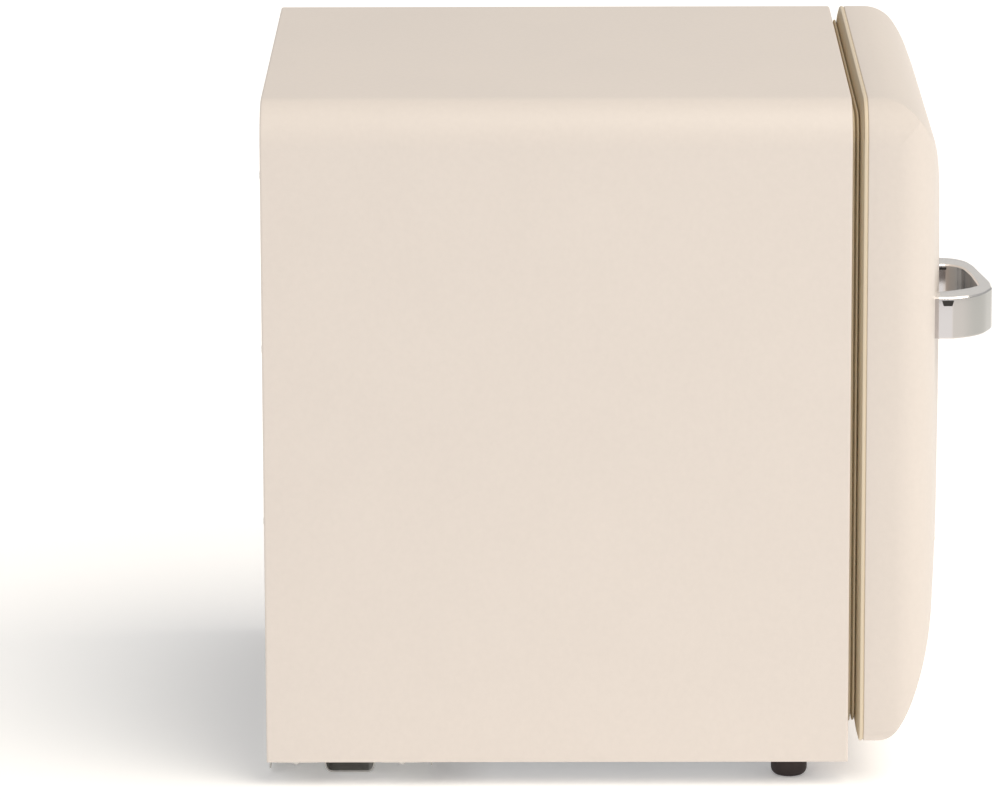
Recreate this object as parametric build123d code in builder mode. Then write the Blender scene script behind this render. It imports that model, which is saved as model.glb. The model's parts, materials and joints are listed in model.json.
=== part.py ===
from build123d import *
from math import cos, radians, sin
import os

os.makedirs("parts", exist_ok=True)

# Compact one-door refrigerator. Millimetres; X left to right seen from the front, front towards -Y, Z up.
# The origin is the middle of the footprint, on the floor.

# Driving dimensions
WIDTH = 440.0
HEIGHT = 496.0
DEPTH = 520.0  # front of the handle to the rear panel
CABINET_DEPTH = 416.0
CABINET_BASE = 18.0  # underside of the cabinet above the floor
TOP_RADIUS = 32.0  # upper corners of cabinet and door
STEEL = 1.0  # sheet of the wrapper, panels and rails
DOOR_GAP = 8.0  # space bridged by the gasket
DOOR_BASE = 30.5
DOOR_LOW_RADIUS = 14.0  # lower corners of the door
DOOR_THICK = 63.8
DOOR_BULGE = 2.3  # of the front, from the ends of the two curves to mid height
DOOR_EDGE = 10.5  # flat depth of the door at its lower and upper edge
DOOR_LOWER_CURVE = 194.0  # height over which the front curves in at the bottom
DOOR_UPPER_CURVE = 104.0
DOOR_SIDE_FLAT = 22.0
DOOR_SIDE_CURVE = 40.0
DOOR_CROWN = 11.0
SKIN = 1.2  # door shell
RIM = 3.0  # depth of the plastic rim behind the shell
CLEAR = 0.3  # between pieces of different bodies
RUNNING = 0.05  # radial play of pins in bores

REAR = DEPTH / 2
CABINET_FRONT = REAR - CABINET_DEPTH
DOOR_REAR = CABINET_FRONT - DOOR_GAP
DOOR_FRONT = DOOR_REAR - DOOR_THICK
INNER = WIDTH / 2 - STEEL

# Opening of the cabinet
LINER = 2.0
ROOM_HALF = 182.0
ROOM_FLOOR, ROOM_TOP, ROOM_REAR = 72.0, 460.0, 218.0
STEP_FRONT, STEP_TOP = 72.0, 214.0  # raised part of the floor over the compressor
LIP_HALF, LIP_BASE, LIP_TOP, LIP_RADIUS = 190.0, 66.0, 466.0, 14.0
BAY_FRONT, BAY_TOP = 111.0, 178.0  # machine compartment

# Door hinge axis
HINGE_X, HINGE_Y = 210.0, -178.0
PIN_RADIUS = 4.0
ARM_BASE, ARM_THICK = 466.0, 3.0
LEAF_BASE, LEAF_THICK = 26.5, 3.0


def at_y(y):
    """Upright plane at depth y: its sketch axes are X and Z, and a negative extrusion goes rearwards."""
    return Plane.XZ.offset(-y)


def arch(half, bottom, top, radius, mode=Mode.ADD):
    """Upright rectangle with its two upper corners rounded."""
    with BuildLine() as outline:
        path = FilletPolyline((-half, bottom), (-half, top), (half, top), (half, bottom), radius=radius)
        Line(path @ 1, path @ 0)
    make_face(outline.edges(), mode=mode)


def panel(half, bottom, top, radius, mode=Mode.ADD):
    """Upright rectangle with four rounded corners."""
    with Locations((0, (bottom + top) / 2)):
        RectangleRounded(2 * half, top - bottom, radius, mode=mode)


def block(low, high, mode=Mode.ADD):
    """Box between two opposite corners."""
    middle = tuple((a + b) / 2 for a, b in zip(low, high))
    with Locations(middle):
        Box(*[b - a for a, b in zip(low, high)], mode=mode)


def rod(radius, centre, base, top, mode=Mode.ADD):
    """Upright cylinder."""
    with Locations((*centre, (base + top) / 2)):
        Cylinder(radius, top - base, mode=mode)


def cross_rod(radius, y, z, left, right, mode=Mode.ADD):
    """Cylinder along X."""
    with BuildSketch(Plane.YZ.offset(left)) as end:
        with Locations((y, z)):
            Circle(radius)
    extrude(end.sketch, amount=right - left, mode=mode)


def folded(points, thickness):
    """Closed outline of a sheet folded along points, which are its upper or outer side."""
    below = []
    ends = [points[0]] + points + [points[-1]]
    for before, here, after in zip(ends, points, ends[2:]):
        before, here, after = Vector(*before), Vector(*here), Vector(*after)
        into = (here - before).normalized() if (here - before).length else (after - here).normalized()
        out = (after - here).normalized() if (after - here).length else into
        side = Vector(into.Y + out.Y, -into.X - out.X).normalized()
        reach = thickness / side.dot(Vector(into.Y, -into.X))
        below.append(here + side * reach)
    return [Vector(*p) for p in points] + below[::-1]


def pipe(points, bend, radius):
    """Round tube, solid inside, along straight runs joined by arcs."""
    with BuildLine() as route:
        path = FilletPolyline(*points, radius=bend)
    with BuildSketch(Plane(origin=path @ 0, z_dir=path % 0)) as section:
        Circle(radius)
    sweep(section.sketch, path=route.wire())


# Cabinet


def liner_form(skin):
    """The room's hollow grown by a skin: a box whose rear floor steps up over the compressor."""
    with BuildPart() as form:
        with BuildSketch(Plane.YZ):
            with BuildLine():
                Polyline(
                    (CABINET_FRONT, ROOM_FLOOR - skin),
                    (STEP_FRONT + skin, ROOM_FLOOR - skin),
                    (STEP_FRONT + skin, STEP_TOP - skin),
                    (ROOM_REAR + skin, STEP_TOP - skin),
                    (ROOM_REAR + skin, ROOM_TOP + skin),
                    (CABINET_FRONT, ROOM_TOP + skin),
                    close=True,
                )
            make_face()
        extrude(amount=ROOM_HALF + skin, both=True)
        fillet(form.edges().filter_by(Axis.Y), radius=10 + skin)
    return form.part


with BuildPart() as outer_wrapper:
    with BuildSketch(at_y(CABINET_FRONT)):
        arch(WIDTH / 2, CABINET_BASE, HEIGHT, TOP_RADIUS)
        arch(INNER, CABINET_BASE - 1, HEIGHT - STEEL, TOP_RADIUS - STEEL, mode=Mode.SUBTRACT)
    extrude(amount=-CABINET_DEPTH)
    # front flange, on which the gasket lands
    with BuildSketch(at_y(CABINET_FRONT)):
        arch(INNER, CABINET_BASE, HEIGHT - STEEL, TOP_RADIUS - STEEL)
        panel(LIP_HALF, LIP_BASE, LIP_TOP, LIP_RADIUS, mode=Mode.SUBTRACT)
        with Locations((0, (CABINET_BASE + LIP_BASE) / 2)):
            Rectangle(2 * LIP_HALF, LIP_BASE - CABINET_BASE, mode=Mode.SUBTRACT)
    extrude(amount=-STEEL)
    # rear flange, folded over the rear panel
    with BuildSketch(at_y(REAR - STEEL)):
        arch(INNER, CABINET_BASE, HEIGHT - STEEL, TOP_RADIUS - STEEL)
        arch(INNER - 11, CABINET_BASE - 1, HEIGHT - STEEL - 11, TOP_RADIUS - STEEL - 11, mode=Mode.SUBTRACT)
    extrude(amount=-STEEL)
    # hems along the lower edges of the sides
    for side in (-1, 1):
        inner_edge, outer_edge = sorted((side * (INNER - 12), side * INNER))
        block(
            (inner_edge, CABINET_FRONT + STEEL, CABINET_BASE),
            (outer_edge, REAR - STEEL, CABINET_BASE + STEEL),
        )
outer_wrapper.part.label = "outer_wrapper"
export_step(outer_wrapper.part, "parts/outer_wrapper.step")

PANEL_Y = REAR - 2 * STEEL  # front face of the rear panel

with BuildPart() as rear_panel:
    with BuildSketch(at_y(PANEL_Y)):
        arch(INNER, BAY_TOP, HEIGHT - STEEL, TOP_RADIUS - STEEL)
    extrude(amount=-STEEL)
    # two shallow stiffening beads pressed rearwards
    with BuildSketch(at_y(PANEL_Y + STEEL)):
        with Locations((0, 250), (0, 400)):
            SlotOverall(300, 14)
    extrude(amount=-0.8)
rear_panel.part.label = "rear_panel"
export_step(rear_panel.part, "parts/rear_panel.step")

# machine compartment: a sheet folded into a front wall and a ceiling
with BuildPart() as machine_compartment_panel:
    with BuildSketch(Plane.YZ):
        with BuildLine():
            Polyline(
                *folded(
                    [
                        (BAY_FRONT - STEEL, CABINET_BASE + STEEL),
                        (BAY_FRONT - STEEL, BAY_TOP + STEEL),
                        (PANEL_Y, BAY_TOP + STEEL),
                    ],
                    STEEL,
                ),
                close=True,
            )
        make_face()
    extrude(amount=INNER, both=True)
machine_compartment_panel.part.label = "machine_compartment_panel"
export_step(machine_compartment_panel.part, "parts/machine_compartment_panel.step")

# underside: front rail and bottom panel
RAIL_RETURN = -130.0
FOOT_X, FOOT_Y = 186.0, -115.0
FOOT_RADIUS, STUD_RADIUS = 13.0, 3.0

with BuildPart() as front_bottom_rail:
    block(
        (-LIP_HALF, CABINET_FRONT, CABINET_BASE),
        (LIP_HALF, CABINET_FRONT + STEEL, LIP_BASE),
    )
    block(
        (-LIP_HALF, CABINET_FRONT + STEEL, CABINET_BASE),
        (LIP_HALF, RAIL_RETURN, CABINET_BASE + STEEL),
    )
front_bottom_rail.part.label = "front_bottom_rail"
export_step(front_bottom_rail.part, "parts/front_bottom_rail.step")

with BuildPart() as bottom_panel:
    block(
        (12 - INNER, CABINET_FRONT + STEEL, CABINET_BASE),
        (INNER - 12, BAY_FRONT, CABINET_BASE + STEEL),
    )
    block(
        (-LIP_HALF, CABINET_FRONT + STEEL, CABINET_BASE),
        (LIP_HALF, RAIL_RETURN, CABINET_BASE + STEEL),
        mode=Mode.SUBTRACT,
    )
    for side in (-1, 1):
        rod(
            STUD_RADIUS + 0.6,
            (side * FOOT_X, FOOT_Y),
            CABINET_BASE,
            CABINET_BASE + STEEL,
            mode=Mode.SUBTRACT,
        )
bottom_panel.part.label = "bottom_panel"
export_step(bottom_panel.part, "parts/bottom_panel.step")

# threaded inserts that take the studs of the front feet
INSERT_TOP = 45.0

with BuildPart() as foot_inserts:
    for side in (-1, 1):
        rod(7, (side * FOOT_X, FOOT_Y), CABINET_BASE + STEEL, INSERT_TOP)
        rod(
            STUD_RADIUS + RUNNING,
            (side * FOOT_X, FOOT_Y),
            CABINET_BASE + STEEL,
            INSERT_TOP,
            mode=Mode.SUBTRACT,
        )
foot_inserts.part.label = "foot_inserts"
export_step(foot_inserts.part, "parts/foot_inserts.step")

for side, name in ((-1, "front_left_foot"), (1, "front_right_foot")):
    with BuildPart() as foot:
        rod(FOOT_RADIUS, (side * FOOT_X, FOOT_Y), 0, CABINET_BASE - CLEAR)
        fillet(foot.edges().group_by(Axis.Z)[0], radius=2.5)
        rod(STUD_RADIUS, (side * FOOT_X, FOOT_Y), CABINET_BASE - CLEAR, INSERT_TOP - 2)
    foot.part.label = name
    export_step(foot.part, f"parts/{name}.step")

# inner liner: thermoformed box with a lip at the front and ledges that carry the shelf
LEDGE_TOP = 219.5

with BuildPart() as inner_liner:
    add(liner_form(LINER))
    with BuildSketch(at_y(CABINET_FRONT)):
        panel(LIP_HALF, LIP_BASE, LIP_TOP, LIP_RADIUS)
    extrude(amount=-LINER)
    add(liner_form(0), mode=Mode.SUBTRACT)
    for side in (-1, 1):
        near, far = sorted((side * 176.0, side * ROOM_HALF))
        block((near, -70, LEDGE_TOP - 14), (far, STEP_FRONT - 12, LEDGE_TOP))
        block((near, STEP_FRONT - 12, STEP_TOP + 3.5), (far, ROOM_REAR, LEDGE_TOP))
inner_liner.part.label = "inner_liner"
export_step(inner_liner.part, "parts/inner_liner.step")

# hot-wall condenser: one serpentine of tube behind each side of the wrapper
TUBE_RADIUS = 2.4
RUN_TOP, RUN_STEP, RUN_COUNT = 446.0, 50.0, 6

with BuildPart() as condenser_tube:
    for side in (-1, 1):
        x = side * (INNER - TUBE_RADIUS - 0.1)
        turns = []
        for run in range(RUN_COUNT):
            z = RUN_TOP - run * RUN_STEP
            row = [(x, 230, z), (x, -130, z)]
            turns += row if run % 2 == 0 else row[::-1]
        pipe(turns, 20, TUBE_RADIUS)
condenser_tube.part.label = "condenser_tube"
export_step(condenser_tube.part, "parts/condenser_tube.step")

with BuildPart() as insulation_foam:
    with BuildSketch(at_y(CABINET_FRONT + STEEL)):
        arch(INNER, CABINET_BASE + STEEL, HEIGHT - STEEL, TOP_RADIUS - STEEL)
    extrude(amount=-(PANEL_Y - CABINET_FRONT - STEEL))
    block(
        (-INNER, BAY_FRONT - STEEL, CABINET_BASE),
        (INNER, REAR, BAY_TOP + STEEL),
        mode=Mode.SUBTRACT,
    )
    add(liner_form(LINER), mode=Mode.SUBTRACT)
    with BuildSketch(at_y(CABINET_FRONT)):
        panel(LIP_HALF, LIP_BASE, LIP_TOP, LIP_RADIUS)
    extrude(amount=-LINER, mode=Mode.SUBTRACT)
    for side in (-1, 1):
        rod(7, (side * FOOT_X, FOOT_Y), CABINET_BASE, INSERT_TOP, mode=Mode.SUBTRACT)
    add(condenser_tube.part, mode=Mode.SUBTRACT)
insulation_foam.part.label = "insulation_foam"
export_step(insulation_foam.part, "parts/insulation_foam.step")

# Machine compartment

# base plate: folded steel with a pressed channel that stands on the floor as the rear foot
PLATE_HALF = 182.0
PLATE = 1.2
TAB_ROWS = (163.0, 239.0)

with BuildPart() as compressor_base_plate:
    with BuildSketch(Plane.YZ):
        with BuildLine():
            Polyline(
                *folded(
                    [
                        (REAR - 118, 5),
                        (REAR - 118, CABINET_BASE),
                        (REAR - 77, CABINET_BASE),
                        (REAR - 74.5, PLATE),
                        (REAR - 43, PLATE),
                        (REAR - 40.5, CABINET_BASE),
                        (REAR - 0.5, CABINET_BASE),
                        (REAR - 0.5, 3),
                    ],
                    PLATE,
                ),
                close=True,
            )
        make_face()
    extrude(amount=PLATE_HALF, both=True)
    for side in (-1, 1):
        near, far = sorted((side * PLATE_HALF, side * (INNER - 3)))
        for row in TAB_ROWS:
            block((near, row - 14, CABINET_BASE - PLATE), (far, row + 14, CABINET_BASE))
compressor_base_plate.part.label = "compressor_base_plate"
export_step(compressor_base_plate.part, "parts/compressor_base_plate.step")

with BuildPart() as base_plate_screws:
    for side in (-1, 1):
        for row in TAB_ROWS:
            spot = (side * (INNER - 7), row)
            rod(3.6, spot, CABINET_BASE - PLATE - 2.4, CABINET_BASE - PLATE)
            rod(1.6, spot, CABINET_BASE - PLATE, CABINET_BASE + STEEL + 3)
base_plate_screws.part.label = "base_plate_screws"
export_step(base_plate_screws.part, "parts/base_plate_screws.step")

COMPRESSOR = (40.0, 196.0)
SHELL_RADIUS = 58.0
WELD_Z = 98.0
MOUNT_BASE = 27.0
MOUNT_TOP = 30.0
BOLT_SPOTS = [(COMPRESSOR[0] + dx, COMPRESSOR[1] + dy) for dx in (-88, 88) for dy in (-35, 35)]

with BuildPart() as compressor_lower_shell:
    rod(SHELL_RADIUS, COMPRESSOR, MOUNT_TOP, WELD_Z)
    fillet(compressor_lower_shell.edges().group_by(Axis.Z)[0], radius=18)
    rod(SHELL_RADIUS + 3, COMPRESSOR, WELD_Z - 4, WELD_Z)
compressor_lower_shell.part.label = "compressor_lower_shell"
export_step(compressor_lower_shell.part, "parts/compressor_lower_shell.step")

with BuildPart() as compressor_upper_shell:
    rod(SHELL_RADIUS - 3, COMPRESSOR, WELD_Z, 152)
    fillet(compressor_upper_shell.edges().group_by(Axis.Z)[-1], radius=28)
    rod(SHELL_RADIUS + 3, COMPRESSOR, WELD_Z, WELD_Z + 3)
compressor_upper_shell.part.label = "compressor_upper_shell"
export_step(compressor_upper_shell.part, "parts/compressor_upper_shell.step")

with BuildPart() as compressor_mount:
    with BuildSketch(Plane.XY.offset(MOUNT_BASE)):
        with Locations(COMPRESSOR):
            RectangleRounded(200, 92, 12)
        with Locations(*BOLT_SPOTS):
            Circle(4, mode=Mode.SUBTRACT)
    extrude(amount=MOUNT_TOP - MOUNT_BASE)
compressor_mount.part.label = "compressor_mount"
export_step(compressor_mount.part, "parts/compressor_mount.step")

with BuildPart() as compressor_grommets:
    with BuildSketch(Plane.XY.offset(CABINET_BASE)):
        with Locations(*BOLT_SPOTS):
            Circle(10)
            Circle(4, mode=Mode.SUBTRACT)
    extrude(amount=MOUNT_BASE - CABINET_BASE)
compressor_grommets.part.label = "compressor_grommets"
export_step(compressor_grommets.part, "parts/compressor_grommets.step")

with BuildPart() as compressor_bolts:
    for spot in BOLT_SPOTS:
        rod(3.5, spot, CABINET_BASE, MOUNT_TOP)
        with BuildSketch(Plane.XY.offset(MOUNT_TOP)):
            with Locations(spot):
                RegularPolygon(6.5, 6)
        extrude(amount=4.5)
compressor_bolts.part.label = "compressor_bolts"
export_step(compressor_bolts.part, "parts/compressor_bolts.step")

with BuildPart() as relay_cover:
    block((COMPRESSOR[0] - 92, COMPRESSOR[1] - 27, 40), (COMPRESSOR[0] - 30, COMPRESSOR[1] + 27, 90))
    rod(SHELL_RADIUS + 1, COMPRESSOR, 30, 100, mode=Mode.SUBTRACT)
relay_cover.part.label = "relay_cover"
export_step(relay_cover.part, "parts/relay_cover.step")

with BuildPart() as suction_line:
    pipe([(94, 196, 124), (122, 196, 124), (122, 196, 158), (122, 150, 158), (122, 150, BAY_TOP)], 9, 3.2)
suction_line.part.label = "suction_line"
export_step(suction_line.part, "parts/suction_line.step")

with BuildPart() as discharge_line:
    pipe([(97, 184, 76), (134, 184, 76), (134, 132, 76), (134, 132, BAY_TOP)], 12, 2.5)
discharge_line.part.label = "discharge_line"
export_step(discharge_line.part, "parts/discharge_line.step")

with BuildPart() as process_tube:
    pipe([(-14, 206, 128), (-34, 206, 128), (-34, 206, 168)], 9, 3)
process_tube.part.label = "process_tube"
export_step(process_tube.part, "parts/process_tube.step")

DRIER = (-112.0, 150.0)

with BuildPart() as filter_drier:
    rod(9, DRIER, 62, 146)
    fillet(filter_drier.edges().group_by(Axis.Z)[0], radius=6)
    fillet(filter_drier.edges().group_by(Axis.Z)[-1], radius=6)
    rod(3, DRIER, 50, 62)
    rod(3, DRIER, 146, 156)
filter_drier.part.label = "filter_drier"
export_step(filter_drier.part, "parts/filter_drier.step")

with BuildPart() as capillary_tube:
    pipe(
        [
            (*DRIER, 50),
            (*DRIER, 36),
            (DRIER[0] - 56, DRIER[1], 36),
            (DRIER[0] - 56, DRIER[1] + 50, 44),
            (DRIER[0] + 20, DRIER[1] + 50, 52),
            (DRIER[0] + 20, DRIER[1] - 26, 60),
            (DRIER[0] + 20, DRIER[1] - 26, BAY_TOP),
        ],
        6,
        1.2,
    )
capillary_tube.part.label = "capillary_tube"
export_step(capillary_tube.part, "parts/capillary_tube.step")

# bushing in the front wall of the compartment through which the supply lead passes
with BuildPart() as cord_gland:
    with BuildSketch(at_y(BAY_FRONT)):
        with Locations((-170, 120)):
            Circle(11)
            Circle(4, mode=Mode.SUBTRACT)
    extrude(amount=-4)
    with BuildSketch(at_y(BAY_FRONT + 4)):
        with Locations((-170, 120)):
            Circle(7.5)
            Circle(4, mode=Mode.SUBTRACT)
    extrude(amount=-12)
cord_gland.part.label = "cord_gland"
export_step(cord_gland.part, "parts/cord_gland.step")

with BuildPart() as rear_panel_screws:
    with BuildSketch(at_y(REAR)):
        with Locations(*[(x, z) for x in (-213.5, 213.5) for z in (195, 320, 445)], (-90, 489.5), (90, 489.5)):
            Circle(1.6)
    extrude(amount=6)
rear_panel_screws.part.label = "rear_panel_screws"
export_step(rear_panel_screws.part, "parts/rear_panel_screws.step")

# Ice box under the ceiling

ICE_FRONT = -22.0
EVAPORATOR_FRONT = -12.0
FLAP_Y, FLAP_Z = -27.0, 452.0

with BuildPart() as evaporator:
    block((-172, EVAPORATOR_FRONT, 358), (172, 196, 456))
    fillet(evaporator.edges().filter_by(Axis.Y), radius=9)
    with BuildSketch(at_y(EVAPORATOR_FRONT)):
        panel(170.4, 359.6, 454.4, 7.4)
    extrude(amount=-206, mode=Mode.SUBTRACT)
evaporator.part.label = "evaporator"
export_step(evaporator.part, "parts/evaporator.step")

with BuildPart() as evaporator_mounts:
    for x in (-130, 130):
        for y in (30, 160):
            rod(5, (x, y), 456, ROOM_TOP)
evaporator_mounts.part.label = "evaporator_mounts"
export_step(evaporator_mounts.part, "parts/evaporator_mounts.step")

with BuildPart() as ice_box_frame:
    with BuildSketch(at_y(ICE_FRONT)):
        panel(177, 354, 458, 8)
        panel(166, 364, 447, 5, mode=Mode.SUBTRACT)
    extrude(amount=ICE_FRONT - EVAPORATOR_FRONT)
    for side in (-1, 1):
        near, far = sorted((side * 171.5, side * 177.0))
        block((near, FLAP_Y - 5, FLAP_Z - 6), (far, ICE_FRONT, FLAP_Z + 5))
        cross_rod(2 + RUNNING, FLAP_Y, FLAP_Z, near, far, mode=Mode.SUBTRACT)
ice_box_frame.part.label = "ice_box_frame"
export_step(ice_box_frame.part, "parts/ice_box_frame.step")

with BuildPart() as ice_box_flap:
    block((-170, FLAP_Y - 2, 361), (170, FLAP_Y + 2, FLAP_Z))
    block((-40, FLAP_Y - 8, 361), (40, FLAP_Y - 2, 364.5))
    cross_rod(3.5, FLAP_Y, FLAP_Z, -170, 170)
    for side in (-1, 1):
        near, far = sorted((side * 170.0, side * 176.5))
        cross_rod(2, FLAP_Y, FLAP_Z, near, far)
ice_box_flap.part.label = "ice_box_flap"
export_step(ice_box_flap.part, "parts/ice_box_flap.step")

# drip tray on two rails
TRAY_HALF, TRAY_BASE, TRAY_TOP = 148.0, 336.0, 352.0
FLANGE_BASE = 349.0

with BuildPart() as tray_rails:
    for side in (-1, 1):
        near, far = sorted((side * 155.0, side * ROOM_HALF))
        block((near, -16, FLANGE_BASE - 0.4 - 2.4), (far, 190, FLANGE_BASE - 0.4))
        near, far = sorted((side * 180.0, side * ROOM_HALF))
        block((near, -16, 338), (far, 190, FLANGE_BASE - 0.4))
tray_rails.part.label = "tray_rails"
export_step(tray_rails.part, "parts/tray_rails.step")

with BuildPart() as drip_tray:
    block((-TRAY_HALF, -20, TRAY_BASE), (TRAY_HALF, 190, TRAY_TOP))
    block((2 - TRAY_HALF, -18, TRAY_BASE + 2), (TRAY_HALF - 2, 188, TRAY_TOP), mode=Mode.SUBTRACT)
    for side in (-1, 1):
        near, far = sorted((side * (TRAY_HALF - 1), side * 168.0))
        block((near, -20, FLANGE_BASE), (far, 190, FLANGE_BASE + 2))
    block((-60, -25, TRAY_TOP - 6), (60, -20, TRAY_TOP - 3))
drip_tray.part.label = "drip_tray"
export_step(drip_tray.part, "parts/drip_tray.step")

# thermostat on the right wall
KNOB_Y, KNOB_Z = -42.0, 310.0
HOUSING_FACE = 152.0

with BuildPart() as thermostat_housing:
    block((HOUSING_FACE, -80, 286), (ROOM_HALF, -5, 334))
    fillet(thermostat_housing.edges().filter_by(Axis.X), radius=6)
    block((HOUSING_FACE + 2, -76, 290), (ROOM_HALF, -9, 330), mode=Mode.SUBTRACT)
    cross_rod(3.6, KNOB_Y, KNOB_Z, HOUSING_FACE, HOUSING_FACE + 2, mode=Mode.SUBTRACT)
    rod(1.4, (179, -40), 328, 334, mode=Mode.SUBTRACT)
thermostat_housing.part.label = "thermostat_housing"
export_step(thermostat_housing.part, "parts/thermostat_housing.step")

with BuildPart() as thermostat_body:
    block((HOUSING_FACE + 6, -64, 294), (ROOM_HALF - 5, -20, 326))
    cross_rod(3 + RUNNING, KNOB_Y, KNOB_Z, HOUSING_FACE + 6, HOUSING_FACE + 14, mode=Mode.SUBTRACT)
thermostat_body.part.label = "thermostat_body"
export_step(thermostat_body.part, "parts/thermostat_body.step")

with BuildPart() as thermostat_knob:
    cross_rod(16, KNOB_Y, KNOB_Z, HOUSING_FACE - 10, HOUSING_FACE - 0.5)
    fillet(thermostat_knob.edges().group_by(Axis.X)[0], radius=1.5)
    block((HOUSING_FACE - 15, KNOB_Y - 3, KNOB_Z - 14), (HOUSING_FACE - 10, KNOB_Y + 3, KNOB_Z + 14))
    cross_rod(3, KNOB_Y, KNOB_Z, HOUSING_FACE - 0.5, HOUSING_FACE + 12)
thermostat_knob.part.label = "thermostat_knob"
export_step(thermostat_knob.part, "parts/thermostat_knob.step")

with BuildPart() as sensing_tube:
    pipe([(179, -40, 326.5), (179, -40, 370), (179, 60, 370)], 10, 1.2)
sensing_tube.part.label = "sensing_tube"
export_step(sensing_tube.part, "parts/sensing_tube.step")

# Glass shelf with plastic trims
SHELF_BASE, GLASS = 220.0, 4.0
SHELF_FRONT, SHELF_REAR = -76.0, 206.0

with BuildPart() as glass_shelf:
    block((-178, SHELF_FRONT, SHELF_BASE), (178, SHELF_REAR, SHELF_BASE + GLASS))
glass_shelf.part.label = "glass_shelf"
export_step(glass_shelf.part, "parts/glass_shelf.step")

with BuildPart() as shelf_front_trim:
    block((-174, SHELF_FRONT - 6, SHELF_BASE - 2.5), (174, SHELF_FRONT + 8, SHELF_BASE + GLASS + 2.5))
    fillet(shelf_front_trim.edges().filter_by(Axis.X).group_by(Axis.Y)[0], radius=2)
    block((-174, SHELF_FRONT, SHELF_BASE), (174, SHELF_FRONT + 8, SHELF_BASE + GLASS), mode=Mode.SUBTRACT)
shelf_front_trim.part.label = "shelf_front_trim"
export_step(shelf_front_trim.part, "parts/shelf_front_trim.step")

with BuildPart() as shelf_rear_trim:
    block((-174, SHELF_REAR - 8, SHELF_BASE - 2.5), (174, SHELF_REAR + 4, SHELF_BASE + GLASS + 2.5))
    block((-174, SHELF_REAR - 8, SHELF_BASE), (174, SHELF_REAR, SHELF_BASE + GLASS), mode=Mode.SUBTRACT)
    block((-174, SHELF_REAR + 2, SHELF_BASE + GLASS + 2.5), (174, SHELF_REAR + 4, SHELF_BASE + 18))
shelf_rear_trim.part.label = "shelf_rear_trim"
export_step(shelf_rear_trim.part, "parts/shelf_rear_trim.step")

# Door


def superellipse_rise(height, exponent, steps=6):
    """Points (depth, rise) of the quarter curve from the door's flat edge to its front."""
    points = []
    for step in range(steps + 1):
        angle = radians(90 * step / steps)
        depth = DOOR_EDGE + (DOOR_THICK - DOOR_BULGE - DOOR_EDGE) * sin(angle) ** (2 / exponent)
        rise = height * (1 - cos(angle) ** (2 / exponent)) if step < steps else height
        points.append((depth, rise))
    return points


def door_outline(inset):
    """The door seen from the front, shrunk by inset: the lower corners are tighter than the upper ones."""
    half, low, high = WIDTH / 2 - inset, DOOR_BASE + inset, HEIGHT - inset
    lower, upper = DOOR_LOW_RADIUS - inset, TOP_RADIUS - inset
    share = 1 - 0.5**0.5
    with BuildLine() as outline:
        for side in (-1, 1):
            Line((side * half, low + lower), (side * half, high - upper))
            ThreePointArc(
                (side * half, high - upper),
                (side * (half - share * upper), high - share * upper),
                (side * (half - upper), high),
            )
            ThreePointArc(
                (side * half, low + lower),
                (side * (half - share * lower), low + share * lower),
                (side * (half - lower), low),
            )
        Line((upper - half, high), (half - upper, high))
        Line((lower - half, low), (half - lower, low))
    make_face(outline.edges())


def door_form(inset, rear):
    """The pillow-shaped door shrunk by inset on every outer side, back to depth rear."""
    low, high = DOOR_BASE + inset, HEIGHT - inset
    with BuildPart() as form:
        # side profile
        with BuildSketch(Plane.YZ):
            with BuildLine():
                lower, upper = superellipse_rise(DOOR_LOWER_CURVE, 2.0), superellipse_rise(DOOR_UPPER_CURVE, 2.3)
                bottom = [(DOOR_REAR - d + inset, low + r) for d, r in lower]
                top = [(DOOR_REAR - d + inset, high - r) for d, r in upper]
                bulge = (DOOR_FRONT + inset, (bottom[-1][1] + top[-1][1]) / 2)
                Line((rear, low), bottom[0])
                Spline(*bottom, tangents=[(-1, 0), (0, 1)])
                ThreePointArc(bottom[-1], bulge, top[-1])
                Spline(*top[::-1], tangents=[(0, 1), (1, 0)])
                Polyline(top[0], (rear, high), (rear, low))
            make_face()
        extrude(amount=WIDTH / 2 - inset, both=True)
        # outline seen from the front
        with BuildSketch(at_y(rear)):
            door_outline(inset)
        extrude(amount=DOOR_THICK, mode=Mode.INTERSECT)
        # section seen from above: upright edges that round over into a slightly crowned front
        half, shoulder = WIDTH / 2 - inset, WIDTH / 2 - DOOR_SIDE_CURVE
        front = DOOR_FRONT + inset
        slope = 2 * DOOR_CROWN / shoulder
        with BuildSketch(Plane.XY.offset(low)):
            with BuildLine():
                Line((-half, rear), (-half, DOOR_REAR - DOOR_SIDE_FLAT))
                Spline(
                    (-half, DOOR_REAR - DOOR_SIDE_FLAT),
                    (-shoulder, front + DOOR_CROWN),
                    tangents=[(0, -1), (1, -slope)],
                )
                ThreePointArc((-shoulder, front + DOOR_CROWN), (0, front), (shoulder, front + DOOR_CROWN))
                Spline(
                    (shoulder, front + DOOR_CROWN),
                    (half, DOOR_REAR - DOOR_SIDE_FLAT),
                    tangents=[(1, slope), (0, 1)],
                )
                Polyline((half, DOOR_REAR - DOOR_SIDE_FLAT), (half, rear), (-half, rear))
            make_face()
        extrude(amount=high - low, mode=Mode.INTERSECT)
    return form.part


SHELL_REAR = DOOR_REAR - RIM
PANEL_HALF, PANEL_BASE, PANEL_TOP, PANEL_RADIUS = 204.0, 50.0, 480.0, 18.0  # rear opening of the rim
HINGE = (HINGE_X, HINGE_Y)
SLOT_RADIUS, SLOT_BASE, SLOT_TOP = 25.0, ARM_BASE - 1.5, ARM_BASE + ARM_THICK + 1.5
SOCKET_BASE = 446.0
LOWER_SOCKET, LOWER_SOCKET_BASE, LOWER_SOCKET_TOP = 7.0, 56.0, 76.0  # radius, ends

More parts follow.
